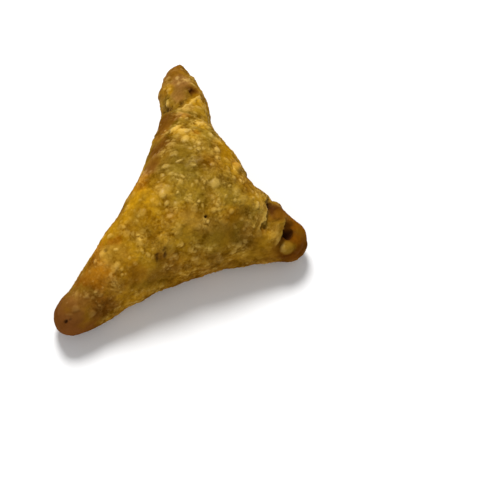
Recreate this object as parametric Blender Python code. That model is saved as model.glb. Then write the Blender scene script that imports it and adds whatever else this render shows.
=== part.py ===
"""A fried, filled triangular pastry, lying on its broad side.

The pastry cone runs from a rounded apex to a pinched seam, which ends in two drawn-out ears.
The whole is one closed body. +X runs from the apex to the seam, +Y towards the far ear, +Z up,
and the origin is under the middle of its bounding box, on the surface that it lies on.
"""

from math import cos, exp, pi, sin, tau

import bmesh
import bpy
import numpy as np
from mathutils import Vector, noise

# Driving dimensions, in metres, measured from the middle of the apex's round end
seam_from_apex = 0.0820
ear_span = 0.0720
seam_skew = 0.0075
ear_shift = 0.0040
belly_height = 0.0375
crest_place = (0.056, 0.002)

# The three drawn-out tips: place of the round end's centre, its radius, how far it is drawn into a nose,
# where it points and how it tapers (degrees), the height of its middle, and how full its top is
tips = {
    "near_ear": {"at": (seam_from_apex - seam_skew, ear_shift - ear_span / 2), "radius": 0.0064, "nose": 1.0,
                 "points": -64, "taper": 20, "mid_height": 0.0085, "plumpness": 0.66},
    "far_ear": {"at": (seam_from_apex + seam_skew, ear_shift + ear_span / 2), "radius": 0.0066, "nose": 1.70,
                "points": 59, "taper": 12, "mid_height": 0.0120, "plumpness": 0.66},
    "apex": {"at": (0.0, 0.0), "radius": 0.0072, "nose": 0.95,
             "points": 182, "taper": 11, "mid_height": 0.0080, "plumpness": 0.62},
}
# The sides between the tips, going round from the near ear: how far each end runs on straight,
# as a share of the side, and how much the middle of its edge sinks
sides = [
    {"run_out": (0.40, 0.46), "sag": 0.0040},
    {"run_out": (0.35, 0.42), "sag": 0.0005},
    {"run_out": (0.34, 0.36), "sag": 0.0005},
]
arc_steps = 9
arm_steps = 20

# The pinched rim along the seam; elsewhere the edge is a low upright band
rim_width = 0.0030
rim_thickness = 0.0046
rim_droop = 0.0022
pinch_pitch = 0.0128
pinch_depth = 0.0006
band_height = 0.0020

# How squarely the crust rounds over from its walls to its top: 0.5 is round and less is squarer
rounding = 0.40

# The flat foot: its share of the body's width at the crest and near the tips, and its share of each arm's length
foot_share = {"crest": 0.66, "tip": 0.25}
foot_reach = 0.82
dome_rings = 14
under_rings = 7

# Creases and dents where the dough is folded at the ears: each runs between two places on the top,
# and fades out on the way down the walls
fold_fade = (0.0125, 0.0165)
folds = [
    {"from": (0.0765, 0.0360), "to": (0.0825, 0.0160), "width": 0.0026, "depth": 0.0015},
    {"from": (0.0745, -0.0225), "to": (0.0675, -0.0275), "width": 0.0021, "depth": 0.0013},
    {"from": (0.0732, -0.0322), "to": (0.0730, -0.0328), "width": 0.0022, "depth": 0.0024},
]

# The filling's lumps under the crust
lumps = [
    {"wavelength": 0.021, "height": 0.0012},
    {"wavelength": 0.010, "height": 0.0007},
]

crust_colour = (0.42, 0.24, 0.05, 1.0)


def clear_scene():
    for obj in list(bpy.data.objects):
        bpy.data.objects.remove(obj, do_unlink=True)


def heading(degrees):
    angle = degrees * pi / 180
    return Vector((cos(angle), sin(angle)))


def tip_arc(tip):
    """Points round a tip's end, anticlockwise, and the directions in which the outline enters and leaves it."""
    along = heading(tip["points"])
    across = Vector((-along.y, along.x))
    reach = (90 - tip["taper"]) * pi / 180
    points = []
    for k in range(arc_steps):
        angle = -reach + 2 * reach * k / (arc_steps - 1)
        nose = tip["radius"] * tip["nose"] * cos(angle)
        points.append(Vector(tip["at"]) + along * nose + across * (tip["radius"] * sin(angle)))
    back = -along * (tip["nose"] * sin(reach))
    side = across * cos(reach)
    return points, (back - side).normalized(), (back + side).normalized()


def side_curve(start, start_heading, end, end_heading, side):
    """The points of a side between two tips, without its ends: a Bezier curve that bows inwards."""
    length = (end - start).length
    first = start + start_heading * (length * side["run_out"][0])
    second = end + end_heading * (length * side["run_out"][1])
    points = []
    for k in range(1, 2 * arm_steps):
        t = k / (2 * arm_steps)
        s = 1 - t
        points.append(s**3 * start + 3 * s * s * t * first + 3 * s * t * t * second + t**3 * end)
    return points


def outline():
    """The body's edge seen from above, anticlockwise.

    Each point has its place, its height, its plumpness, how much it is seam, and its node:
    the arm and the step on the skeleton, from the crest to a tip, that it belongs to.
    """
    order = [tips["near_ear"], tips["far_ear"], tips["apex"]]
    arcs = [tip_arc(tip) for tip in order]
    edge = []
    for n, (tip, side) in enumerate(zip(order, sides)):
        following = order[(n + 1) % 3]
        points, _, leaving = arcs[n]
        for point in points:
            edge.append({"at": point, "height": tip["mid_height"], "plumpness": tip["plumpness"],
                         "seam": 0.0, "node": (n, arm_steps)})
        next_points, entering, _ = arcs[(n + 1) % 3]
        run = side_curve(points[-1], leaving, next_points[0], entering, side)
        for k, point in enumerate(run, start=1):
            t = k / (2 * arm_steps)
            blend = t * t * (3 - 2 * t)
            swell = sin(pi * t) ** 2
            height = tip["mid_height"] * (1 - blend) + following["mid_height"] * blend - side["sag"] * swell
            plumpness = tip["plumpness"] * (1 - blend) + following["plumpness"] * blend
            plumpness += (1 - plumpness) * swell
            seam = min(1.0, 1.6 * sin(pi * t)) if n == 0 else 0.0
            arm = n if k < arm_steps else (n + 1) % 3
            edge.append({"at": point, "height": height, "plumpness": plumpness,
                         "seam": seam, "node": (arm, abs(arm_steps - k))})
    return edge


def skeleton_place(arm, step):
    crest = Vector(crest_place)
    tip = Vector(list(tips.values())[arm]["at"])
    return crest + (tip - crest) * (step / arm_steps)


def outward(edge, n):
    before = edge[n - 1]["at"]
    after = edge[(n + 1) % len(edge)]["at"]
    along = (after - before).normalized()
    return Vector((along.y, -along.x))


def travelled(edge):
    """How far round the outline each point is, in metres."""
    distance = [0.0]
    for n in range(1, len(edge)):
        distance.append(distance[-1] + (edge[n]["at"] - edge[n - 1]["at"]).length)
    return distance


def dome_plan(edge):
    """The dome seen from above: places on its skeleton and on rings out to the edge, and its faces between them."""
    numbers = {}
    places = []
    for arm in range(3):
        for step in range(arm_steps + 1):
            if step == 0 and arm > 0:
                numbers[arm, step] = numbers[0, 0]
                continue
            numbers[arm, step] = len(places)
            places.append(skeleton_place(arm, step))
    rings = [[numbers[point["node"]] for point in edge]]
    for j in range(1, dome_rings + 1):
        share = sin(pi / 2 * j / dome_rings)
        rings.append(list(range(len(places), len(places) + len(edge))))
        for n, point in enumerate(edge):
            middle = places[rings[0][n]]
            places.append(middle + (point["at"] - middle) * share)
    faces = []
    for inner, outer in zip(rings, rings[1:]):
        for n in range(len(edge)):
            m = (n + 1) % len(edge)
            face = [inner[n], outer[n], outer[m]]
            if inner[m] != inner[n]:
                face.append(inner[m])
            faces.append(face)
    return places, rings, faces


def dome_heights(edge, places, faces):
    """The height of each place, for a skin that is blown up from the edge like a cushion.

    Three values are spread over the plan like a stretched skin: a load that is zero along the edge,
    and the edge's own height and plumpness.
    """
    triangles = []
    for face in faces:
        triangles.append(face[:3])
        if len(face) == 4:
            triangles.append([face[0], face[2], face[3]])
    pull = np.zeros((len(places), len(places)))
    area = np.zeros(len(places))
    for triangle in triangles:
        for k in range(3):
            a, b, c = triangle[k], triangle[(k + 1) % 3], triangle[(k + 2) % 3]
            one = places[a] - places[c]
            two = places[b] - places[c]
            twice_area = abs(one.cross(two))
            pull[a, b] += 0.5 * one.dot(two) / twice_area
            pull[b, a] += 0.5 * one.dot(two) / twice_area
            area[c] += twice_area / 6
    stiffness = np.diag(pull.sum(axis=1)) - pull
    free = len(places) - len(edge)
    at_edge = np.array([(0.0, point["height"], point["plumpness"]) for point in edge])
    forces = pull[:free, free:] @ at_edge
    forces[:, 0] += area[:free]
    inside = np.linalg.solve(stiffness[:free, :free], forces)
    load, low, plumpness = np.vstack((inside, at_edge)).T
    top = load.argmax()
    lift = (load / load[top]) ** rounding
    rise = (belly_height - low[top]) / plumpness[top]
    return low + rise * plumpness * lift


def half_band(point):
    return (band_height + (rim_thickness - band_height) * point["seam"]) / 2


def rim_and_underside(edge):
    """The rings from the dome's edge out round the rim and in under the body to the edge of its flat foot."""
    distance = travelled(edge)
    rings = []
    # Across the rim: shares of its width and of half its thickness, and of half the band's height where there is none
    for out, rise, band_rise in ((0.55, 0.96, 0.67), (0.90, 0.66, 0.33), (1.0, 0.0, 0.0),
                                 (0.90, -0.66, -0.33), (0.45, -0.92, -0.67)):
        ring = []
        for n, point in enumerate(edge):
            seam = point["seam"]
            width = (rim_width + pinch_depth * cos(tau * distance[n] / pinch_pitch)) * seam
            place = point["at"] + outward(edge, n) * (width * out)
            lift = half_band(point) * (rise * seam + band_rise * (1 - seam)) - rim_droop * out * seam
            ring.append(Vector((place.x, place.y, point["height"] + lift)))
        rings.append(ring)
    for j in range(under_rings + 1):
        turn = pi / 2 * j / under_rings
        share = 1 - cos(turn)
        ring = []
        for point in edge:
            arm, step = point["node"]
            middle = skeleton_place(arm, step * foot_reach)
            foot = foot_share["crest"] + (foot_share["tip"] - foot_share["crest"]) * step / arm_steps
            place = middle + (point["at"] - middle) * (1 - (1 - foot) * share)
            ring.append(Vector((place.x, place.y, (point["height"] - half_band(point)) * (1 - sin(turn)))))
        rings.append(ring)
    return rings


def lump_at(place):
    return sum(
        lump["height"] * noise.noise(place / lump["wavelength"]) for lump in lumps
    )


def fold_at(place):
    """How deeply the folds press in the top at a place."""
    spot = Vector((place.x, place.y))
    depth = 0.0
    for fold in folds:
        start = Vector(fold["from"])
        run = Vector(fold["to"]) - start
        share = min(1.0, max(0.0, (spot - start).dot(run) / run.length_squared))
        away = (spot - start - run * share).length
        depth += fold["depth"] * exp(-((away / fold["width"]) ** 2))
    low, high = fold_fade
    return depth * min(1.0, max(0.0, (place.z - low) / (high - low)))


def samosa_mesh():
    edge = outline()
    count = len(edge)
    places, rings, faces = dome_plan(edge)
    heights = dome_heights(edge, places, faces)
    for n, point in zip(rings[-1], edge):
        heights[n] += half_band(point)
    mesh = bmesh.new()
    dome = [mesh.verts.new((place.x, place.y, height)) for place, height in zip(places, heights)]
    levels = [[dome[n] for n in rings[-1]]]
    levels.extend([mesh.verts.new(place) for place in ring] for ring in rim_and_underside(edge))
    for face in faces:
        mesh.faces.new([dome[n] for n in face])
    for upper, lower in zip(levels, levels[1:]):
        for n in range(count):
            m = (n + 1) % count
            mesh.faces.new((upper[n], lower[n], lower[m], upper[m]))
    mesh.faces.new(reversed(levels[-1]))
    mesh.normal_update()
    foot = set(levels[-1])
    top = set(dome)
    moves = {vert: vert.normal * lump_at(vert.co) for vert in mesh.verts if vert not in foot}
    for vert in top:
        moves[vert] -= vert.normal * fold_at(vert.co)
    for vert, move in moves.items():
        vert.co += move
        vert.co.z = max(vert.co.z, 0.00005)
    return mesh


def centre_over_origin(mesh):
    xs = [vert.co.x for vert in mesh.verts]
    ys = [vert.co.y for vert in mesh.verts]
    middle = Vector(((min(xs) + max(xs)) / 2, (min(ys) + max(ys)) / 2, 0.0))
    bmesh.ops.translate(mesh, vec=-middle, verts=mesh.verts)


def crust_material():
    material = bpy.data.materials.new("fried_crust")
    material.use_nodes = True
    shader = material.node_tree.nodes["Principled BSDF"]
    shader.inputs["Base Color"].default_value = crust_colour
    shader.inputs["Roughness"].default_value = 0.45
    shader.inputs["Metallic"].default_value = 0.0
    return material


def make_samosa():
    mesh = samosa_mesh()
    centre_over_origin(mesh)
    data = bpy.data.meshes.new("samosa")
    mesh.to_mesh(data)
    mesh.free()
    data.materials.append(crust_material())
    data.shade_smooth()
    samosa = bpy.data.objects.new("samosa", data)
    bpy.context.scene.collection.objects.link(samosa)
    return samosa


clear_scene()
make_samosa()
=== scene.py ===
# A fried samosa lying on its broad side: the crust's relief, its browning and its finish
import math
import random

import bpy
import numpy as np
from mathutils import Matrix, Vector, kdtree, noise


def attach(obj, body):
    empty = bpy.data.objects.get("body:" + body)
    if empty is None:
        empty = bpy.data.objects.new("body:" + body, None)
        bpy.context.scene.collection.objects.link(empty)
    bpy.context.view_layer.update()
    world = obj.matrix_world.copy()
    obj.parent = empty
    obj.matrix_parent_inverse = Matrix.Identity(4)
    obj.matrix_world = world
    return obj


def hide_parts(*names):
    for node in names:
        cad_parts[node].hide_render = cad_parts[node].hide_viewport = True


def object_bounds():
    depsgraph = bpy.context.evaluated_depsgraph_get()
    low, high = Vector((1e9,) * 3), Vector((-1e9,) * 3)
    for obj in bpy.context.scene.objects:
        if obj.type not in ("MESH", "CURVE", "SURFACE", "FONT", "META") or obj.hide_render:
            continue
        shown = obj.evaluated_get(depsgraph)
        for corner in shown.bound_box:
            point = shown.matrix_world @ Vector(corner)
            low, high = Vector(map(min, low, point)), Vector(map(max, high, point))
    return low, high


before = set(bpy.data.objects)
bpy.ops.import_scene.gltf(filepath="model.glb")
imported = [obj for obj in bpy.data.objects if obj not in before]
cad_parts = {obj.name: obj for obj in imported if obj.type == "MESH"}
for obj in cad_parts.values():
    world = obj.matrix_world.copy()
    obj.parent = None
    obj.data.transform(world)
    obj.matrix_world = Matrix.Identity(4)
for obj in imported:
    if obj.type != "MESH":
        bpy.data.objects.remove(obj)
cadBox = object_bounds()
mm = 0.001


def pickOnly(piece):
    bpy.ops.object.select_all(action="DESELECT")
    piece.select_set(True)
    bpy.context.view_layer.objects.active = piece


def applyModifier(piece, kind, **settings):
    modifier = piece.modifiers.new(kind.lower(), kind)
    for name, value in settings.items():
        setattr(modifier, name, value)
    pickOnly(piece)
    bpy.ops.object.modifier_apply(modifier=modifier.name)


# ---- node graphs ----

class Value:
    # a socket that takes part in Python sums
    def __init__(self, graph, socket):
        self.graph = graph
        self.socket = socket

    def __add__(self, other):
        return self.graph.sum("ADD", self, other)

    def __sub__(self, other):
        return self.graph.sum("SUBTRACT", self, other)

    def __rsub__(self, other):
        return self.graph.sum("SUBTRACT", other, self)

    def __mul__(self, other):
        return self.graph.sum("MULTIPLY", self, other)

    def __pow__(self, other):
        return self.graph.sum("POWER", self, other)

    __radd__ = __add__
    __rmul__ = __mul__


class Graph:
    def __init__(self, tree):
        self.tree = tree

    def node(self, kind, settings=None, inputs=None, output=0):
        node = self.tree.nodes.new(kind)
        for name, value in (settings or {}).items():
            if name == "stops":
                ramp = node.color_ramp
                while len(ramp.elements) < len(value):
                    ramp.elements.new(0.5)
                for element, (place, shade) in zip(ramp.elements, value):
                    element.position = place
                    element.color = (shade, shade, shade, 1)
            else:
                setattr(node, name, value)
        for name, value in (inputs or {}).items():
            if isinstance(value, Value):
                self.tree.links.new(value.socket, node.inputs[name])
            else:
                node.inputs[name].default_value = value
        return Value(self, node.outputs[output])

    def sum(self, operation, one, other):
        return self.node("ShaderNodeMath", {"operation": operation}, {0: one, 1: other})

    def clamp(self, value):
        return self.node("ShaderNodeClamp", None, {"Value": value})

    def stored(self, name):
        return self.node("ShaderNodeAttribute", {"attribute_name": name}, None, "Fac")

    def blend(self, share, one, other):
        return self.node("ShaderNodeMix", {"data_type": "RGBA"}, {0: share, 6: one, 7: other}, 2)

    def scale(self, colour, by):
        return self.node("ShaderNodeVectorMath", {"operation": "MULTIPLY"}, {0: colour, 1: by})

    def spots(self, where, size, detail=2.0, rough=0.5):
        return self.node("ShaderNodeTexNoise", None,
                         {"Vector": where, "Scale": 1 / size, "Detail": detail, "Roughness": rough})

    def ramp(self, value, stops):
        return self.node("ShaderNodeValToRGB", {"stops": stops}, {0: value})


# ---- the crust's mesh ----

crustBody = {
    "voxel": 0.34 * mm,
    "smoothing": 34,
    "faces": 184000,
}


def crustMesh():
    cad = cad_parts["samosa"]
    mesh = cad.data.copy()
    mesh.transform(cad.matrix_world)
    crust = bpy.data.objects.new("crust", mesh)
    bpy.context.scene.collection.objects.link(crust)
    pickOnly(crust)
    bpy.ops.object.mode_set(mode="EDIT")
    bpy.ops.mesh.select_all(action="SELECT")
    bpy.ops.mesh.remove_doubles(threshold=0.001 * mm)
    bpy.ops.object.mode_set(mode="OBJECT")
    applyModifier(crust, "REMESH", mode="VOXEL", voxel_size=crustBody["voxel"])
    applyModifier(crust, "SMOOTH", factor=0.5, iterations=crustBody["smoothing"])
    crust.data.materials.clear()
    return crust


def readMesh(mesh):
    # places in millimetres, and normals
    count = len(mesh.vertices)
    places = np.empty(count * 3)
    normals = np.empty(count * 3)
    mesh.vertices.foreach_get("co", places)
    mesh.vertices.foreach_get("normal", normals)
    return places.reshape(-1, 3) / mm, normals.reshape(-1, 3)


def moveBy(mesh, moves):
    places, _ = readMesh(mesh)
    mesh.vertices.foreach_set("co", ((places + moves) * mm).ravel())
    mesh.update()


def grain(places, size, shift=0.0):
    # smooth noise between -1 and 1 at every vertex
    return np.array([noise.noise(place) for place in (places / size + shift).tolist()])


def ramped(low, high, values):
    share = np.clip((values - low) / (high - low), 0, 1)
    return share * share * (3 - 2 * share)


def distances(places, at):
    return np.linalg.norm(places - np.array(at), axis=1)


# ---- large forms: the outline, lumps of filling, folded lips of dough ----

# soft pushes on the outline, as with a thumb: where, how far round it the push is felt, and the push itself
thumbPushes = [
    {"at": (-12.0, 5.5, 22.0), "reach": 11, "push": (0.5, -1.25, 0)},
    {"at": (-5.0, 8.0, 23.0), "reach": 9, "push": (0.35, -0.8, 0)},
    {"at": (-38.0, 0.0, 15.0), "reach": 14, "push": (0.75, -1.75, 0)},
    {"at": (-49.5, -2.0, 11.0), "reach": 8, "push": (0.4, -0.9, 0)},
    {"at": (41.5, 40.5, 15.0), "reach": 8, "push": (1.0, -1.0, 0)},
    {"at": (46.5, 41.0, 16.0), "reach": 5, "push": (0.5, -1.4, 0)},
    {"at": (51.0, 36.5, 16.0), "reach": 5, "push": (-1.5, -0.2, 0)},
    {"at": (50.5, 40.5, 15.5), "reach": 3, "push": (0.5, 0.5, 0.2)},
    {"at": (45.5, 16.5, 11.0), "reach": 9, "push": (-1.3, 1.3, 0)},
    {"at": (43.5, 9.5, 9.0), "reach": 9, "push": (-1.4, 1.4, 0)},
    {"at": (2.0, 9.5, 24.0), "reach": 11, "push": (0.35, -0.8, 0)},
    {"at": (39.8, 12.0, 18.0), "reach": 7, "push": (-1.5, 1.5, 0)},
    {"at": (35.5, 2.0, 24.0), "reach": 8, "push": (-1.6, 1.6, 0)},
    {"at": (21.0, 20.0, 24.0), "reach": 8, "push": (-0.5, 0.5, 0)},
    {"at": (31.5, -15.0, 22.0), "reach": 7, "push": (-0.9, 0.7, 0)},
    {"at": (31.0, -19.0, 22.5), "reach": 4.5, "push": (-1.1, 0.9, 0)},
    {"at": (34.5, -18.0, 15.5), "reach": 9, "push": (-1.5, 1.3, 0)},
    {"at": (38.5, 3.5, 18.5), "reach": 9, "push": (-1.3, 1.3, 0)},
    {"at": (-11.5, 8.0, 17.5), "reach": 9, "push": (0.35, -1.0, 0)},
    {"at": (32.5, -26.5, 18.0), "reach": 4.5, "push": (1.3, -0.9, 0)},
    {"at": (38.5, 36.5, 16.0), "reach": 6, "push": (-0.5, 0.5, 0)},
]

lumps = [
    {"size": 13.0, "height": 0.50, "shift": 3.1},
    {"size": 6.5, "height": 0.36, "shift": 7.7},
    {"size": 3.2, "height": 0.16, "shift": 1.3},
]

# the fried skin is pebbled between its blisters
pebbles = [{"size": 2.1, "height": 0.20, "shift": 0.4}, {"size": 1.15, "height": 0.11, "shift": 2.9}]


def pebbled(places):
    # rounded bumps from 0 to 1 with narrow creases between them, for each size of pebble
    return [1 - np.exp(-5.0 * np.abs(grain(places, kind["size"], kind["shift"]))) for kind in pebbles]


def frothed(places):
    # from 0 to 1 where tiny bubbles have run together
    patches = grain(places, 3.9, 19.3) + 0.75 * grain(places, 1.7, 29.3)
    return ramped(0.05, 0.5, patches)


# a layer of dough ends in a ragged lip: the line it follows, the way to the ear's tip, the drop past the lip,
# how far that runs on, how much the lip curls up, how pale its edge is and how ragged
lips = [
    {"line": [(33.0, -23.5, 15.5), (30.1, -24.9, 20.4), (27.3, -26.4, 21.9), (26.5, -28.7, 21.8),
              (23.2, -31.2, 22.2), (20.7, -31.9, 22.4), (18.0, -33.0, 21.5)],
     "toTip": (0.48, -0.88, 0), "drop": 1.10, "runOn": 5.0, "curl": 0.35, "pale": 1.0, "ragged": 0.95},
    {"line": [(29.8, -34.3, 18.0), (28.6, -35.6, 18.4), (27.0, -36.9, 18.1), (25.2, -37.9, 17.8),
              (23.0, -38.4, 17.0), (21.0, -38.6, 15.0)],
     "toTip": (0.48, -0.88, 0), "drop": 1.40, "runOn": 5.5, "curl": 0.22, "pale": 0.4, "ragged": 0.55},
    {"line": [(31.5, 22.3, 25.6), (33.9, 21.8, 25.0), (36.2, 21.6, 25.0), (40.9, 23.0, 22.6),
              (45.0, 24.8, 18.7)],
     "toTip": (0.66, 0.75, 0), "drop": 0.85, "runOn": 3.4, "curl": 0.30, "pale": 1.0, "ragged": 0.85},
]

# creases pressed in between two folds of dough
creases = [
    {"line": [(31.0, 35.0, 8.0), (32.2, 31.5, 14.0), (31.3, 27.5, 20.0), (31.0, 23.5, 24.0)],
     "toTip": (0.66, 0.75, 0), "deep": 1.0, "wide": 0.95},
    {"line": [(39.5, 9.5, 14.0), (37.5, 11.0, 22.5), (34.5, 14.5, 26.5), (29.0, 18.0, 28.5), (25.0, 22.5, 27.0)],
     "toTip": (0.66, 0.75, 0), "deep": 0.55, "wide": 1.1},
    {"line": [(-31.0, 2.0, 15.0), (-34.0, -2.0, 20.5), (-34.5, -8.0, 20.5), (-31.0, -14.0, 15.0)],
     "toTip": (-0.91, -0.41, 0), "deep": 0.45, "wide": 1.8},
    {"line": [(23.8, -32.6, 21.4), (26.0, -33.6, 20.9), (28.0, -34.0, 20.0), (30.5, -33.4, 17.5)],
     "toTip": (0.48, -0.88, 0), "deep": 0.5, "wide": 0.55},
]


def pastLine(places, line, toTip):
    # how far each vertex lies past the line, and a share that fades at the line's two ends
    corners = np.array(line)
    steps = np.linalg.norm(np.diff(corners, axis=0), axis=1)
    travelled = np.concatenate([[0], np.cumsum(steps)])
    nearest = np.full(len(places), 1e9)
    past = np.zeros(len(places))
    along = np.zeros(len(places))
    for n, (first, last) in enumerate(zip(corners[:-1], corners[1:])):
        way = last - first
        share = np.clip((places - first) @ way / way.dot(way), 0, 1)
        away = places - first - share[:, None] * way
        distance = np.linalg.norm(away, axis=1)
        closer = distance < nearest
        nearest[closer] = distance[closer]
        past[closer] = (distance * np.sign(away @ np.array(toTip)))[closer]
        along[closer] = (travelled[n] + share * steps[n])[closer] / travelled[-1]
    return past, ramped(0, 0.16, along) * (1 - ramped(0.84, 1, along))


def raiseLips(places, normals):
    heights = np.zeros(len(places))
    paleness = np.zeros(len(places))
    outward = ramped(-0.35, 0.1, normals[:, 2])
    for n, lip in enumerate(lips):
        past, held = pastLine(places, lip["line"], lip["toTip"])
        past = past + lip["ragged"] * (grain(places, 2.3, 11.0 + n) + 0.6 * grain(places, 0.9, 21.0 + n))
        held = held * outward
        drop = ramped(-0.25, 0.35, past) * (1 - ramped(lip["runOn"] * 0.3, lip["runOn"], past))
        curl = np.exp(-((past + 0.65) / 0.6) ** 2)
        heights += held * (lip["curl"] * curl - lip["drop"] * drop)
        paleness = np.maximum(paleness, lip["pale"] * held * np.exp(-((past + 0.55) / 0.6) ** 2))
    return heights, paleness


def pressCreases(places):
    depth = np.zeros(len(places))
    for n, crease in enumerate(creases):
        past, held = pastLine(places, crease["line"], crease["toTip"])
        past = past + 0.4 * grain(places, 1.8, 31.0 + n)
        depth += held * crease["deep"] * np.exp(-((past / crease["wide"]) ** 2))
    return depth


def roundSpot(places, normals, tree, at, size, lies=(1.0, 0.2, 0.1)):
    # the vertices in an oval spot and how far out each lies, 1 at the oval's edge
    centre, index, _ = tree.find(Vector(at))
    halfLength, halfWidth = size
    near = np.array([n for _, n, _ in tree.find_range(centre, halfLength * 2.2)])
    normal = normals[index]
    lies = np.array(lies) - normal * normal.dot(lies)
    lies /= np.linalg.norm(lies) + 1e-9
    away = places[near] - np.array(centre)
    return near, np.hypot(away @ lies / halfLength, away @ np.cross(normal, lies) / halfWidth)


# ---- pits, pinholes and the open pocket at the near ear: scorched marks, and painted shade inside the holes ----

pits = [
    # the broad hollow and the pocket at the near ear, darkened inside as painted shade
    {"at": (27.9, -37.4, 16.4), "size": (2.9, 2.4), "deep": 0.6, "dark": 0.15},
    {"at": (27.7, -38.1, 16.0), "size": (1.6, 1.35), "deep": 1.5, "dark": 0.85, "lies": (0.3, -0.3, 0.9)},
    {"at": (43.8, 26.1, 21.3), "size": (2.0, 1.85), "deep": 1.3, "dark": 0.28},
    # pinholes, dark inside as painted shade
    {"at": (5.5, -20.1, 31.6), "size": (0.55, 0.42), "deep": 0.9, "dark": 0.9},
    {"at": (-49.9, -8.7, 13.8), "size": (0.9, 0.6), "deep": 0.8, "dark": 0.85},
    {"at": (-48.6, -9.4, 14.4), "size": (0.6, 0.4), "deep": 0.2, "dark": 0.4},
    {"at": (35.4, 23.6, 24.3), "size": (0.9, 0.6), "deep": 0.6, "dark": 0.5},
    {"at": (-14.9, -17.4, 24.6), "size": (1.5, 0.45), "deep": 0.35, "dark": 0.6, "lies": (0.5, 0.5, 0.7)},
    {"at": (-14.0, -16.2, 25.9), "size": (0.8, 0.4), "deep": 0.30, "dark": 0.6, "lies": (0.7, -0.4, 0.5)},
    {"at": (-12.1, -18.2, 25.2), "size": (1.3, 0.45), "deep": 0.35, "dark": 0.7, "lies": (0.5, 0.5, 0.7)},
    {"at": (-11.4, -16.9, 26.8), "size": (0.7, 0.35), "deep": 0.25, "dark": 0.5, "lies": (0.7, -0.2, 0.5)},
    {"at": (-25.4, -3.8, 25.6), "size": (0.5, 0.4), "deep": 0.3, "dark": 0.4},
    # the hollow just past the upper lip at the near ear, darkened as painted shade
    {"at": (29.1, -27.7, 20.7), "size": (1.3, 0.9), "deep": 0.5, "dark": 0.5},
    {"at": (22.0, -33.0, 21.0), "size": (0.9, 0.6), "deep": 0.4, "dark": 0.35},
    {"at": (23.3, 13.9, 31.9), "size": (0.7, 0.55), "deep": 0.5, "dark": 0.35},
    {"at": (31.6, 9.9, 30.3), "size": (0.5, 0.4), "deep": 0.4, "dark": 0.35},
    {"at": (29.6, 8.0, 31.6), "size": (0.5, 0.35), "deep": 0.4, "dark": 0.35},
]


def sinkPits(places, normals, tree, wobble):
    heights = np.zeros(len(places))
    darkness = np.zeros(len(places))
    for pit in pits:
        near, away = roundSpot(places, normals, tree, pit["at"], pit["size"], pit.get("lies", (1.0, 0.2, 0.1)))
        away = away * (1 + 0.3 * wobble[near])
        bowl = np.exp(-away**3)
        rim = 0.10 * np.exp(-((away - 1.45) / 0.35) ** 2)
        heights[near] += (rim - bowl) * pit["deep"]
        # darkness: scorched marks, and painted shade inside the pinholes, pits and the pocket
        darkness[near] = np.maximum(darkness[near], pit["dark"] * np.exp(-((away * 0.85) ** 3)))
    return heights, darkness


# ---- blisters ----

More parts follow.
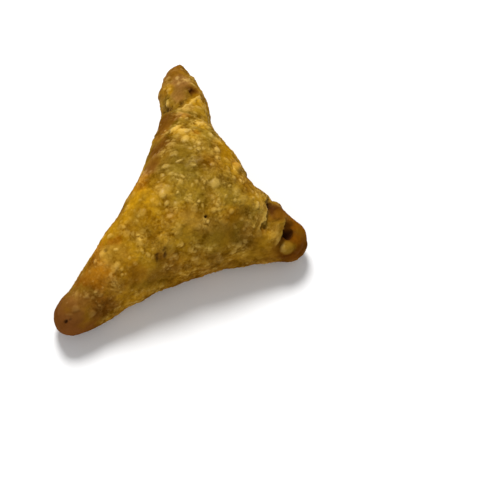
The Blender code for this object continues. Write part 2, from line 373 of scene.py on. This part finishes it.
# blisters set one by one: place, half-length and half-width, height, paleness, the way a long one lies,
# and how far a collapsed one has sunk in the middle
setBlisters = [
    # the far ear and its neck
    {"at": (33.6, 29.3, 20.0), "size": (1.9, 1.1), "height": 0.70, "pale": 1.0, "lies": (0.7, 0.7, 0)},
    {"at": (38.0, 32.9, 20.5), "size": (1.7, 1.0), "height": 0.35, "pale": 0.55, "lies": (0.71, -0.70, 0)},
    {"at": (43.4, 34.6, 20.8), "size": (1.6, 1.1), "height": 0.30, "pale": 0.75, "lies": (0.7, 0.7, 0)},
    {"at": (44.8, 31.3, 21.0), "size": (1.2, 0.9), "height": 0.25, "pale": 0.7, "lies": (0.7, -0.7, 0)},
    {"at": (41.8, 31.8, 21.8), "size": (1.1, 0.8), "height": 0.20, "pale": 0.5},
    {"at": (45.6, 29.0, 20.1), "size": (1.6, 0.5), "height": 0.40, "pale": 0.95, "lies": (0.71, -0.70, 0)},
    {"at": (41.8, 21.8, 21.0), "size": (2.2, 1.6), "height": 0.40, "pale": 0.3},
    {"at": (22.4, 13.3, 32.3), "size": (2.5, 2.1), "height": 0.55, "pale": 1.0, "ragged": 0.2},
    {"at": (23.8, 9.8, 33.6), "size": (2.9, 1.5), "height": 0.45, "pale": 1.0, "lies": (0.71, -0.70, 0)},
    {"at": (20.9, 6.1, 35.1), "size": (2.4, 1.7), "height": 0.50, "pale": 0.85},
    {"at": (29.0, 14.2, 30.4), "size": (1.2, 0.8), "height": 0.35, "pale": 0.7},
    {"at": (30.9, 9.2, 30.8), "size": (2.4, 1.7), "height": 0.50, "pale": 1.0},
    {"at": (29.8, 2.4, 32.2), "size": (1.8, 1.3), "height": 0.50, "pale": 0.95, "lies": (0.7, 0.7, 0)},
    # the upper face
    {"at": (12.7, 4.0, 36.6), "size": (1.3, 1.2), "height": 0.35, "pale": 0.75, "sunken": 0.7},
    {"at": (12.3, 0.3, 37.0), "size": (1.7, 0.5), "height": 0.30, "pale": 1.0, "lies": (0.9, -0.3, 0)},
    {"at": (7.5, 2.0, 36.3), "size": (2.1, 1.4), "height": 0.40, "pale": 0.7, "lies": (0.71, -0.70, 0)},
    {"at": (26.3, -4.3, 33.8), "size": (1.8, 1.4), "height": 0.40, "pale": 0.95},
    {"at": (23.7, -6.9, 34.8), "size": (1.1, 0.8), "height": 0.35, "pale": 0.75},
    {"at": (20.0, -8.3, 36.0), "size": (0.9, 0.8), "height": 0.30, "pale": 0.5},
    {"at": (6.9, -1.7, 36.7), "size": (1.5, 0.9), "height": 0.30, "pale": 0.6, "lies": (0.71, -0.70, 0)},
    {"at": (9.0, -5.4, 36.6), "size": (1.3, 0.6), "height": 0.30, "pale": 0.8, "lies": (0, -1, 0)},
    {"at": (14.8, -4.8, 37.1), "size": (1.4, 0.7), "height": 0.25, "pale": 0.55, "lies": (0.71, -0.70, 0)},
    {"at": (7.2, -6.3, 36.4), "size": (1.4, 0.9), "height": 0.30, "pale": 0.65, "lies": (0, -1, 0)},
    {"at": (15.3, -14.1, 34.9), "size": (2.6, 1.9), "height": 0.45, "pale": 0.85, "ragged": 0.3},
    {"at": (13.1, -11.5, 35.8), "size": (0.9, 0.5), "height": 0.30, "pale": 0.7, "lies": (0.71, 0.70, 0)},
    {"at": (4.0, -8.3, 35.9), "size": (0.8, 0.6), "height": 0.30, "pale": 0.9},
    {"at": (0.0, -5.0, 35.9), "size": (1.8, 1.3), "height": 0.45, "pale": 0.95, "lies": (0.7, 0.7, 0)},
    {"at": (-1.4, -8.4, 35.1), "size": (1.4, 1.0), "height": 0.35, "pale": 0.7},
    # about the middle
    {"at": (7.4, -14.9, 34.1), "size": (0.9, 0.7), "height": 0.35, "pale": 1.0},
    {"at": (4.3, -15.9, 33.4), "size": (1.5, 1.4), "height": 0.35, "pale": 0.7, "sunken": 0.95},
    {"at": (9.2, -20.3, 32.1), "size": (1.4, 1.1), "height": 0.30, "pale": 0.65},
    {"at": (5.1, -21.4, 30.6), "size": (1.0, 0.8), "height": 0.40, "pale": 1.0},
    {"at": (0.1, -16.1, 32.6), "size": (3.4, 2.6), "height": 0.45, "pale": 0.15},
    {"at": (-9.8, -14.2, 30.4), "size": (0.6, 0.5), "height": 0.30, "pale": 0.9},
    {"at": (-5.4, -16.9, 30.1), "size": (1.2, 0.8), "height": 0.35, "pale": 0.6},
    # towards the near ear
    {"at": (28.2, -12.6, 29.7), "size": (2.7, 2.3), "height": 1.15, "pale": 0.35, "ragged": 0.1},
    {"at": (26.0, -12.6, 31.2), "size": (1.8, 0.5), "height": 0.25, "pale": 0.7, "lies": (0.6, 0.7, 0)},
    {"at": (24.4, -17.5, 30.5), "size": (1.2, 0.6), "height": 0.35, "pale": 0.8, "lies": (0.6, 0.7, 0)},
    {"at": (19.6, -17.5, 33.1), "size": (1.1, 0.5), "height": 0.30, "pale": 0.7, "lies": (1, 0, 0)},
    {"at": (17.6, -22.0, 31.0), "size": (1.0, 0.8), "height": 0.35, "pale": 0.8},
    {"at": (14.2, -24.0, 30.1), "size": (1.4, 1.1), "height": 0.35, "pale": 0.6},
    {"at": (23.7, -26.5, 26.2), "size": (1.5, 0.9), "height": 0.50, "pale": 1.0, "lies": (0.6, 0.7, 0)},
    {"at": (23.9, -41.2, 14.0), "size": (2.8, 2.55), "height": 0.95, "pale": 0.15, "ragged": 0.12},
    # a painted highlight: the pale patch on the upper left of the bubble at the ear
    {"at": (23.5, -40.3, 15.0), "size": (1.6, 1.1), "height": 0.20, "pale": 0.85, "ragged": 0.4},
    {"at": (23.0, -41.2, 13.6), "size": (0.8, 0.6), "height": 0.15, "pale": 0.6},
    # the golden side and the finger
    {"at": (-21.0, -0.5, 26.8), "size": (1.6, 1.1), "height": 0.40, "pale": 0.9, "lies": (0.71, -0.70, 0)},
    {"at": (-17.2, -5.1, 29.8), "size": (1.8, 1.6), "height": 0.30, "pale": 0.75, "sunken": 0.85},
    {"at": (-15.0, -8.8, 30.4), "size": (1.1, 0.5), "height": 0.30, "pale": 0.85, "lies": (0.71, -0.70, 0)},
    {"at": (-23.2, -6.0, 27.4), "size": (1.1, 0.6), "height": 0.30, "pale": 0.8, "lies": (0.71, -0.70, 0)},
    {"at": (-26.9, -3.3, 25.2), "size": (1.5, 1.1), "height": 0.35, "pale": 0.6},
    {"at": (-29.8, -2.7, 23.1), "size": (1.1, 0.9), "height": 0.35, "pale": 0.6},
    {"at": (-26.3, -9.7, 25.0), "size": (1.8, 1.2), "height": 0.40, "pale": 0.7},
    {"at": (-16.5, -15.1, 26.4), "size": (1.0, 0.8), "height": 0.30, "pale": 0.55},
    {"at": (-29.0, -9.9, 23.0), "size": (0.7, 0.6), "height": 0.25, "pale": 0.6},
    {"at": (-26.7, -12.4, 22.7), "size": (0.7, 0.6), "height": 0.25, "pale": 0.6},
    {"at": (-40.9, -6.4, 18.3), "size": (0.9, 0.6), "height": 0.14, "pale": 0.28},
    {"at": (-39.9, -8.3, 18.2), "size": (1.3, 0.6), "height": 0.14, "pale": 0.36, "lies": (0.71, -0.70, 0)},
    {"at": (-38.2, -9.9, 18.0), "size": (0.7, 0.6), "height": 0.14, "pale": 0.32},
    {"at": (-39.2, -6.5, 19.0), "size": (0.6, 0.5), "height": 0.14, "pale": 0.28},
    {"at": (-36.0, -9.3, 19.2), "size": (0.9, 0.6), "height": 0.14, "pale": 0.32, "lies": (0.71, -0.70, 0)},
    {"at": (-35.6, -11.1, 18.2), "size": (0.7, 0.6), "height": 0.14, "pale": 0.32},
    {"at": (-33.8, -10.2, 19.7), "size": (0.6, 0.5), "height": 0.25, "pale": 0.50},
    {"at": (-37.2, -4.2, 19.9), "size": (0.6, 0.5), "height": 0.14, "pale": 0.32},
    {"at": (-35.0, -6.6, 20.6), "size": (0.6, 0.5), "height": 0.14, "pale": 0.36},
    {"at": (-47.5, -8.3, 15.7), "size": (1.7, 0.5), "height": 0.12, "pale": 0.22, "lies": (0.71, -0.70, 0)},
]

# the rest are strewn: how many tries, how close together they may lie, half-width, height as a share of it,
# paleness, and how much they keep to the top
strewnBlisters = [
    {"tries": 220, "apart": 3.8, "half": (1.8, 3.2), "height": 0.15, "pale": (0.0, 0.2), "top": 0.3},
    {"tries": 560, "apart": 2.3, "half": (0.9, 1.6), "height": 0.23, "pale": (0.2, 0.75), "top": 0.6},
    {"tries": 2600, "apart": 1.3, "half": (0.5, 0.9), "height": 0.31, "pale": (0.15, 0.8), "top": 0.7},
    {"tries": 1800, "apart": 0.9, "half": (0.38, 0.55), "height": 0.34, "pale": (0.05, 0.5), "top": 0.3},
]
blisterSeed = 61


def raiseBlister(layer, places, normals, tree, wobble, blister):
    near, reach = roundSpot(places, normals, tree, blister["at"], blister["size"],
                            blister.get("lies", (1.0, 0.2, 0.1)))
    reach = reach * (1 + blister.get("ragged", 0.25) * wobble[near])
    share = np.clip(1 - reach**2, 0, 1)
    dip = blister.get("sunken", 0) * np.exp(-((reach / 0.5) ** 2))
    height = blister["height"] * (share**1.4 - 0.9 * dip)
    lower = np.minimum(layer["height"][near], height)
    layer["height"][near] = np.maximum(layer["height"][near], height) + 0.2 * lower
    pale = blister["pale"] * (ramped(0.05, 0.95, share) - 0.85 * dip)
    layer["pale"][near] = np.maximum(layer["pale"][near], pale)
    # a shallow groove round the blister's foot; the same value darkens the crust's colour there as painted shade
    moat = blister["height"] * np.exp(-(((reach - 1.12) / 0.18) ** 2))
    layer["moat"][near] = np.maximum(layer["moat"][near], moat)


def strewBlisters(layer, places, normals, tree, wobble, quiet):
    luck = random.Random(blisterSeed)
    clumps = ramped(-0.3, 0.4, grain(places, 6, 5.5))
    onTop = ramped(8, 30, places[:, 2])
    for kind in strewnBlisters:
        wish = (1 - quiet) * (1 - kind["top"] * (1 - onTop)) * (0.25 + 0.75 * clumps)
        kept = np.zeros((0, 3))
        for _ in range(kind["tries"]):
            index = luck.randrange(len(places))
            place = places[index]
            if luck.random() > wish[index]:
                continue
            if len(kept) and np.min(np.sum((kept - place) ** 2, axis=1)) < kind["apart"] ** 2:
                continue
            kept = np.vstack([kept, place])
            halfWidth = luck.uniform(*kind["half"])
            raiseBlister(layer, places, normals, tree, wobble, {
                "at": tuple(place), "size": (halfWidth * luck.uniform(1.0, 1.6), halfWidth),
                "height": halfWidth * kind["height"] * luck.uniform(0.6, 1.3),
                "pale": kind["pale"][0] + (kind["pale"][1] - kind["pale"][0]) * luck.random() ** 1.4,
                "lies": [luck.uniform(-1, 1) for _ in range(3)],
                "sunken": luck.uniform(0.4, 0.95) if luck.random() < 0.5 else 0})
        print("blisters strewn:", len(kept))


# ---- browning: patches of colour that the fat left, and a few of painted shade and shadow; place, reach and strength ----

tones = {
    "ochre": (0.270, 0.143, 0.0075),
    "golden": (0.430, 0.208, 0.004),
    "orange": (0.440, 0.152, 0.003),
    "olive": (0.208, 0.127, 0.011),
    "brown": (0.175, 0.064, 0.005),
    "amber": (0.310, 0.128, 0.006),
    "bronze": (0.160, 0.085, 0.004),
    "rust": (0.235, 0.078, 0.002),
    "maroon": (0.125, 0.036, 0.002),
    "mauve": (0.250, 0.108, 0.022),
    "umber": (0.085, 0.025, 0.002),
    "cocoa": (0.182, 0.062, 0.013),
    "tan": (0.400, 0.215, 0.028),
    "butter": (0.520, 0.285, 0.020),
}

stainsAndShades = [
    # the finger at the apex, then the golden side
    ("brown", (-53, -8, 8), 25, 1.0), ("cocoa", (-52, -9, 11), 13, 0.9), ("mauve", (-43, -7, 17.5), 9, 0.5), ("golden", (-26, -2, 24), 9, 0.6),
    # the brown on this line: browning and painted shadow of a piece lying against the finger
    ("brown", (-38, -12.5, 15), 7, 0.8), ("amber", (-32, -7, 22), 6, 0.6),
    ("rust", (-38.3, -1.3, 18), 3.4, 0.9), ("rust", (-36.3, -4.6, 20.1), 3.4, 0.9), ("rust", (-34.4, -8.4, 20.4), 3.4, 0.8),
    # the two browns on this line: browning and painted shadow of a piece lying against the finger
    ("brown", (-35, -14, 14), 7, 0.8), ("brown", (-39, -12.5, 14.5), 4.5, 0.7), ("golden", (-17, 1, 26), 11, 0.85), ("golden", (-6, 3, 31), 9, 1.0),
    ("orange", (-22.5, -3, 26.5), 3, 0.9),
    ("amber", (-30.5, -5.5, 23), 8, 0.75), ("orange", (-1, 5, 32), 5.5, 0.6), ("mauve", (4.5, 7.4, 32.6), 5.2, 0.85), ("brown", (5.6, 6.6, 33.5), 4.0, 0.6),
    ("brown", (12, 11, 32), 6.5, 0.95), ("brown", (15.3, 11.5, 32.7), 4, 0.6), ("brown", (7.9, 8.5, 33), 4.5, 0.6),
    ("rust", (19, 17, 29), 6, 0.7), ("brown", (23.3, 19.9, 26.2), 4.5, 0.9), ("brown", (27, 21.5, 26), 4, 0.7), ("brown", (26, 24, 24), 5, 0.9), ("brown", (30, 28, 21), 5, 0.6),
    ("brown", (20, 19, 21), 6, 0.4), ("rust", (-14, 6, 20), 8, 0.3), ("golden", (-4, 9, 22), 9, 0.5), ("golden", (8, 14, 18), 8, 0.5),
    ("golden", (-6.3, -3.2, 34), 5, 0.8), ("golden", (-19.9, -5.5, 28.8), 4.5, 0.75), ("golden", (-14.2, -11.4, 30), 4, 0.5),
    # the brown on this line: browning and painted shadow low on the near wall
    ("golden", (-18.7, -15.8, 24), 4.5, 0.5), ("amber", (-24, -11, 25), 6, 0.5), ("brown", (-30, -13, 19), 5, 0.5),
    ("orange", (-26.5, -1, 24), 5, 0.6), ("orange", (-30, -6, 23), 6, 0.3), ("tan", (-25, -6, 26.5), 6, 0.8), ("butter", (-25, -5, 26.5), 5.5, 0.4), ("rust", (-31, -6, 22.5), 7, 0.25), ("orange", (-20.5, -4, 28), 2.6, 0.6),
    # the far ear
    ("brown", (47, 41, 15), 10, 0.9), ("mauve", (43, 32.5, 21.5), 6, 0.85), ("mauve", (38, 28, 23), 5, 0.8),
    ("brown", (43, 38, 19), 5, 0.8), ("mauve", (43.5, 33, 21), 3.5, 0.8), ("golden", (37.6, 33, 20), 3.1, 0.9), ("olive", (35.0, 31.3, 19.6), 2.4, 0.7),
    ("brown", (43.8, 26.1, 21.3), 3.6, 0.9), ("maroon", (43.8, 26.1, 21.3), 3.1, 0.9), ("orange", (30, 17.5, 28.7), 4, 0.6),
    ("golden", (43, 22, 20), 5, 0.75), ("olive", (33, 18.5, 27), 3.5, 0.6), ("brown", (28.5, 18.5, 28.5), 4, 0.6),
    ("brown", (36, 34, 17), 5, 0.5),
    # the upper face, the middle and the lower wall
    ("olive", (12, -2, 37), 9, 0.75), ("olive", (18, 3, 36), 6, 0.5), ("olive", (6, -10, 36), 9, 0.55),
    ("golden", (29, -5, 31), 6, 0.8), ("golden", (28.5, -7.4, 31.5), 5.5, 0.7), ("brown", (19, -6, 35.5), 4, 0.5), ("bronze", (16, 2, 37), 7.5, 0.8), ("bronze", (21, 1, 36), 4.5, 0.5),
    ("golden", (22.5, 12, 32.8), 4, 0.8), ("golden", (30.5, 9, 31), 3.4, 0.7), ("orange", (26, 6, 33.8), 2.4, 0.4),
    ("olive", (7.5, -16, 34), 4.5, 0.6), ("olive", (4.5, -9.6, 36), 3.5, 0.5), ("amber", (-3, -12, 33.5), 3.5, 0.5),
    ("tan", (26.3, -4.3, 33.8), 3, 0.7), ("golden", (13, -24.3, 30), 5, 0.7), ("tan", (4.2, -21.5, 30.6), 3.6, 0.7),
    # the two browns on the lower wall: browning and painted shadow of a piece lying against it
    ("brown", (-10, -20.5, 20), 6, 0.5), ("brown", (-17, -18.7, 17), 5, 0.5), ("golden", (0, -16, 33), 6, 0.5),
    ("mauve", (-11, -14, 28), 5, 0.3), ("golden", (-15, -13, 28), 7, 0.5), ("golden", (-24, -12, 24), 6, 0.4),
    ("golden", (26, -17, 30), 4, 0.5), ("ochre", (4, -19, 32), 7, 0.5), ("maroon", (-13.5, -17.3, 25.2), 2.4, 0.6), ("amber", (-22.6, -15.8, 21.5), 6, 0.75), ("golden", (-9, -13, 31), 8, 0.55), ("brown", (27, -19, 28), 8, 0.4),
    ("orange", (28.6, -12.0, 29.4), 3, 0.35), ("golden", (25.5, -13.0, 31.5), 2.6, 0.8), ("brown", (14, -27, 26), 9, 0.4),
    ("golden", (-9.2, -6.2, 33), 4.5, 0.5), ("golden", (1, -17, 32.3), 5, 0.3), ("tan", (1, -17, 32.3), 5, 0.5), ("tan", (4.6, -21.8, 30.2), 4.5, 0.6),
    ("tan", (8, -24.5, 29), 4, 0.35), ("bronze", (12.5, -29.8, 23.2), 6, 0.75), ("brown", (15, -30.5, 23), 4, 0.4),
    # darker towards the foot of the near side: browning and painted shadow
    ("brown", (0, -24, 6), 16, 0.5), ("brown", (24, -34, 5), 14, 0.6),
    # the near ear
    ("brown", (28, -32, 20), 4.5, 0.95), ("brown", (31.5, -33.5, 18), 6.5, 1.0), ("tan", (24.5, -35, 19.8), 3.6, 0.9), ("orange", (26.8, -36.4, 18.4), 1.9, 0.45),
    ("golden", (21.5, -35.8, 19), 3.2, 0.7), ("tan", (21.5, -30.2, 23.8), 2.8, 0.6), ("tan", (25.8, -26.8, 24), 2.4, 0.6),
    # the brown and umber just past the upper lip: browning and painted shadow under the lip
    ("rust", (30.6, -36.4, 17.6), 2.6, 0.6), ("brown", (30, -30, 20), 5, 1.0), ("umber", (28.6, -28.3, 20.9), 4.0, 0.9),
    ("amber", (29, -32.8, 20), 2.8, 0.4), ("amber", (24.8, -31.6, 21.4), 2.4, 0.8), ("amber", (21, -33, 21.5), 2.4, 0.8), ("rust", (24, -32.8, 21.3), 1.6, 0.8),
    # the umber round the pocket: browning and painted shade in the hollow
    ("brown", (29.9, -36.7, 17), 3, 0.5), ("umber", (27.8, -38.5, 15.5), 5, 0.9), ("maroon", (28, -43, 10), 10, 0.95), ("rust", (33, -38, 13), 6.5, 0.9), ("rust", (28.7, -41.5, 15), 3, 0.6),
    ("brown", (22, -39.5, 14), 4, 0.6), ("ochre", (24.2, -41.5, 13.8), 3.1, 0.8),
    ("tan", (35, 20.3, 25.4), 3.6, 0.9), ("golden", (39.5, 21, 22.5), 3.6, 0.8), ("umber", (30.5, 28.5, 17), 4, 0.6),
]


def stainAndShadeCrust(places):
    ragged = 0.22 * grain(places, 9, 14.2) + 0.28 * grain(places, 4.5, 2.2) + 0.14 * grain(places, 1.8, 8.2)
    onTop = ramped(6, 28, places[:, 2])
    colour = np.tile(np.array(tones["ochre"]), (len(places), 1))
    drift = grain(places, 11, 4.1)
    drift2 = grain(places, 8, 9.1)
    for tone, share in (("amber", 0.5 * (1 - onTop)), ("olive", 0.55 * ramped(0.0, 0.45, drift) * (0.3 + 0.7 * onTop)),
                        ("golden", 0.45 * ramped(0.05, 0.45, -drift)), ("brown", 0.35 * ramped(0.1, 0.5, drift2))):
        colour += share[:, None] * (np.array(tones[tone]) - colour)
    for tone, at, reach, strength in stainsAndShades:
        share = strength * (1 - ramped(0.3, 1.05, distances(places, at) / reach + ragged))
        colour += share[:, None] * (np.array(tones[tone]) - colour)
    return colour


def quietSkin(places):
    # smooth skin: the golden edge of the fold, the finger at the apex and the two ears' ends
    ragged = 0.2 * grain(places, 4, 6.1)
    quiet = np.zeros(len(places))
    for at, reach, strength in [((40, 28, 22), 6, 0.7), ((45, 38, 19), 6, 0.6), ((-52, -8, 8), 18, 0.95), ((-36, -4, 18), 9, 0.6), ((-20, 4, 22), 12, 0.7),
                                ((-6, 7, 26), 10, 0.8), ((11, 12.5, 29), 8.5, 0.75), ((6.5, 7.6, 33.4), 4.5, 0.8), ((15, 4, 36), 6, 0.3), ((-21, -4, 27), 8, 0.45), ((-12, -4, 31), 7, 0.45), ((28, -7, 31.5), 5, 0.65), ((26, 24, 22), 6, 0.9), ((24, 19.5, 27), 5, 0.8), ((43.9, 26.0, 21.3), 2.8, 0.9),
                                ((28, -38, 12), 11, 0.85), ((28, -31.5, 20.5), 5, 0.8), ((-20, -17, 20), 8, 0.5), ((20, -32, 14), 10, 0.5), ((10, -28, 26), 9, 0.6), ((0, -17.5, 31), 6, 0.4)]:
        share = strength * (1 - ramped(0.5, 1.1, distances(places, at) / reach + ragged))
        quiet = np.maximum(quiet, share)
    return quiet


def store(mesh, name, values):
    if values.ndim == 2:
        attribute = mesh.attributes.new(name, "FLOAT_COLOR", "POINT")
        attribute.data.foreach_set("color", np.hstack([values, np.ones((len(values), 1))]).ravel())
    else:
        attribute = mesh.attributes.new(name, "FLOAT", "POINT")
        attribute.data.foreach_set("value", np.clip(values, 0, 1))


def dressCrust(crust):
    mesh = crust.data
    places, normals = readMesh(mesh)
    moves = np.zeros_like(places)
    for thumb in thumbPushes:
        felt = np.clip(1 - (distances(places, thumb["at"]) / thumb["reach"]) ** 2, 0, 1) ** 2
        moves += felt[:, None] * np.array(thumb["push"])
    moveBy(mesh, moves)

    places, normals = readMesh(mesh)
    foot = ramped(0.2, 1.6, places[:, 2])  # the foot stays flat
    rising = sum(lump["height"] * grain(places, lump["size"], lump["shift"]) for lump in lumps)
    lipHeights, lipPale = raiseLips(places, normals)
    moveBy(mesh, normals * (rising * foot + lipHeights - pressCreases(places))[:, None])
    print("large forms raised")

    places, normals = readMesh(mesh)
    tree = kdtree.KDTree(len(places))
    for n, place in enumerate(places.tolist()):
        tree.insert(place, n)
    tree.balance()
    wobble = grain(places, 2.4, 12.6) + 0.9 * grain(places, 1.2, 6.6) + 0.4 * grain(places, 0.6, 3.6)
    layer = {name: np.zeros(len(places)) for name in ("height", "pale", "moat")}
    quiet = quietSkin(places)
    strewBlisters(layer, places, normals, tree, wobble, quiet)
    for blister in setBlisters:
        raiseBlister(layer, places, normals, tree, wobble, blister)
    pitHeights, dark = sinkPits(places, normals, tree, wobble)
    # the moat: a groove round each blister, and painted shade at its foot in the crust's colour
    moat = layer["moat"] * np.clip(1 - layer["height"] / 0.15, 0, 1)
    coarse, small = pebbled(places)
    froth = frothed(places) * (1 - quiet)
    skin = pebbles[0]["height"] * coarse + pebbles[1]["height"] * small
    skin *= foot * (1 - 0.75 * quiet) * (0.4 + 0.6 * ramped(-0.3, 0.4, grain(places, 8, 15.5)))
    skin += foot * froth * (0.06 + 0.16 * small)
    moveBy(mesh, normals * ((layer["height"] - 0.06 * moat) * foot + skin + pitHeights)[:, None])
    print("blisters and pits raised")

    # the crust's colour: browning, with some patches of painted shade and shadow
    store(mesh, "stain", stainAndShadeCrust(places))
    store(mesh, "pale", layer["pale"] * (1 - dark) * (1 - 0.4 * quiet))
    # pebble: 0 in the creases between pebbles, 1 on their tops; the material darkens the creases, partly browning and
    # partly painted shade
    store(mesh, "pebble", (0.55 * coarse + 0.45 * small) * (1 - 0.35 * quiet))
    store(mesh, "lip", lipPale)
    store(mesh, "froth", froth)
    # dark: scorched marks, and painted shade inside holes and pits
    store(mesh, "dark", dark)
    # the moat, painted darker in the material as shade round each blister's foot
    store(mesh, "moat", moat)
    store(mesh, "calm", quiet)
    store(mesh, "bubbly", (1 - quiet) * (0.35 + 0.65 * ramped(-0.3, 0.4, grain(places, 6, 5.5))))
    applyModifier(crust, "DECIMATE", ratio=crustBody["faces"] / (2 * len(mesh.polygons)))
    pickOnly(crust)
    bpy.ops.object.shade_smooth()


# ---- the crust's finish ----

crustFinish = {
    "pale": (0.620, 0.405, 0.102, 1),
    "scorchAndHoleShade": (0.024, 0.006, 0.003, 1),
    "roughness": 0.50,
}


def crustMaterial():
    finish = crustFinish
    material = bpy.data.materials.new("friedCrust")
    material.use_nodes = True
    g = Graph(material.node_tree)
    shader = material.node_tree.nodes["Principled BSDF"]
    where = g.node("ShaderNodeTexCoord", None, None, "Object")

    blotch = g.ramp(g.spots(where, 7 * mm, 3, 0.55), [(0.36, 0), (0.64, 1)])
    mottle = g.ramp(g.spots(where, 2.6 * mm, 4, 0.6), [(0.34, 0), (0.66, 1)])
    fine = g.spots(where, 0.8 * mm, 3, 0.6)
    speck = g.spots(where, 0.35 * mm, 2, 0.5)
    bubbles = {"Vector": where, "Scale": 1 / (1.15 * mm)}
    nearness = g.node("ShaderNodeTexVoronoi", None, bubbles, "Distance")
    chance = g.node("ShaderNodeSeparateColor", None, {0: g.node("ShaderNodeTexVoronoi", None, bubbles, "Color")})
    bubble = g.ramp(nearness, [(0.08, 1), (0.46, 0)]) * g.clamp((chance - 0.42) * 3)

    lace = g.ramp(g.spots(where, 1.9 * mm, 2, 0.5), [(0.42, 0), (0.50, 1), (0.58, 0)])

    stain = g.node("ShaderNodeAttribute", {"attribute_name": "stain"}, None, "Color")
    deeper = g.scale(stain, (0.48, 0.41, 0.15))
    lighter = g.scale(stain, (1.27, 1.31, 1.50))
    # the tone: random from the noises, darker in the pebbles' creases (browning and painted shade) and in each
    # blister's moat (painted shade)
    change = mottle * 0.45 + g.stored("pebble") * 0.5 + fine * 0.35 + blotch * 0.75 - g.stored("moat") * 0.4 - 1.1
    depth = change * (1 - g.stored("calm") * 0.75) + 0.50
    colour = g.blend(g.clamp(depth), deeper, lighter)
    paleSkin = g.blend(0.5, g.scale(stain, (1.6, 1.75, 2.1)), finish["pale"])
    frosting = g.stored("froth") * (fine * 0.45 + lace * 0.35) + bubble * 0.25 + lace * fine * 0.4
    paleShare = g.clamp(g.stored("pale") * (0.45 + 0.9 * fine) + g.stored("bubbly") * frosting)
    colour = g.blend(paleShare, colour, paleSkin)
    colour = g.blend(g.clamp(g.stored("lip") * (0.5 + 0.6 * fine)), colour, paleSkin)
    # the dark of pits and holes: scorching, and painted shade inside them
    colour = g.blend(g.stored("dark"), colour, finish["scorchAndHoleShade"])
    g.tree.links.new(colour.socket, shader.inputs["Base Color"])

    rough = g.clamp(finish["roughness"] + 0.25 * (fine - 0.5) + 0.12 * (mottle - 0.5))
    g.tree.links.new(rough.socket, shader.inputs["Roughness"])

    relief = (bubble * 0.55 + lace * 0.15 + fine * 0.6 + speck * 0.2) * (1 - g.stored("calm") * 0.55)
    bump = g.node("ShaderNodeBump", None, {"Strength": 0.6, "Distance": 0.3 * mm, "Height": relief}, "Normal")
    g.tree.links.new(bump.socket, shader.inputs["Normal"])
    shader.inputs["IOR"].default_value = 1.45
    shader.inputs["Specular IOR Level"].default_value = 0.0
    oily = g.clamp(g.stored("pale") * 0.35 + g.stored("lip") * 0.2 + (mottle - 0.4) * 0.1)
    g.tree.links.new(oily.socket, shader.inputs["Coat Weight"])
    shader.inputs["Coat Roughness"].default_value = 0.34
    shader.inputs["Coat IOR"].default_value = 1.35
    return material


# ---- floor, light and camera ----

studio = {
    "floor": (0.90, 0.90, 0.90, 1),
    "air": 0.36,
    "lamps": [
        {"name": "keyLamp", "from": (0.25, 0.35, 0.75), "size": 0.30, "watts": 7.3},
        {"name": "fillLamp", "from": (-0.65, -0.45, 0.45), "size": 0.7, "watts": 2.2},
    ],
}

# the camera looks down on the samosa from the side of its near ear; the aim lies right of and below its middle
view = {"azimuth": -44.6, "elevation": 60.0, "distance": 0.55, "lens": 117.1, "aimRight": 0.0302, "aimDown": 0.0108}


def makeStudio():
    bpy.ops.mesh.primitive_plane_add(size=3.0, location=(0, 0, -0.02 * mm))
    floor = bpy.context.object
    floor.name = "floor"
    paper = bpy.data.materials.new("palePaper")
    paper.use_nodes = True
    paper.node_tree.nodes["Principled BSDF"].inputs["Base Color"].default_value = studio["floor"]
    paper.node_tree.nodes["Principled BSDF"].inputs["Roughness"].default_value = 0.9
    paper.node_tree.nodes["Principled BSDF"].inputs["Specular IOR Level"].default_value = 0.1
    floor.data.materials.append(paper)

    world = bpy.data.worlds.new("softRoom")
    world.use_nodes = True
    world.node_tree.nodes["Background"].inputs["Color"].default_value = (1, 1, 1, 1)
    world.node_tree.nodes["Background"].inputs["Strength"].default_value = studio["air"]
    bpy.context.scene.world = world
    for lamp in studio["lamps"]:
        light = bpy.data.lights.new(lamp["name"], "AREA")
        light.shape = "DISK"
        light.size = lamp["size"]
        light.energy = lamp["watts"]
        holder = bpy.data.objects.new(lamp["name"], light)
        holder.location = lamp["from"]
        holder.rotation_euler = Vector(lamp["from"]).to_track_quat("Z", "Y").to_euler()
        bpy.context.scene.collection.objects.link(holder)


def makeCamera():
    azimuth, elevation = math.radians(view["azimuth"]), math.radians(view["elevation"])
    back = Vector((math.sin(azimuth) * math.cos(elevation), -math.cos(azimuth) * math.cos(elevation),
                   math.sin(elevation)))
    right = Vector((math.cos(azimuth), math.sin(azimuth), 0))
    up = back.cross(right)
    middle = (Vector(cadBox[0]) + Vector(cadBox[1])) / 2
    aim = middle + right * view["aimRight"] - up * view["aimDown"]
    data = bpy.data.cameras.new("camera")
    data.lens = view["lens"]
    data.sensor_width = 36
    camera = bpy.data.objects.new("camera", data)
    camera.location = aim + back * view["distance"]
    camera.rotation_euler = back.to_track_quat("Z", "Y").to_euler()
    bpy.context.scene.collection.objects.link(camera)
    bpy.context.scene.camera = camera


crust = crustMesh()
print("crust remeshed:", len(crust.data.polygons), "faces")
dressCrust(crust)
crust.data.materials.append(crustMaterial())
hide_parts("samosa")
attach(crust, "root")
print("crust finished")

makeStudio()
makeCamera()
bpy.context.scene.view_settings.view_transform = "Standard"
print("studio ready")
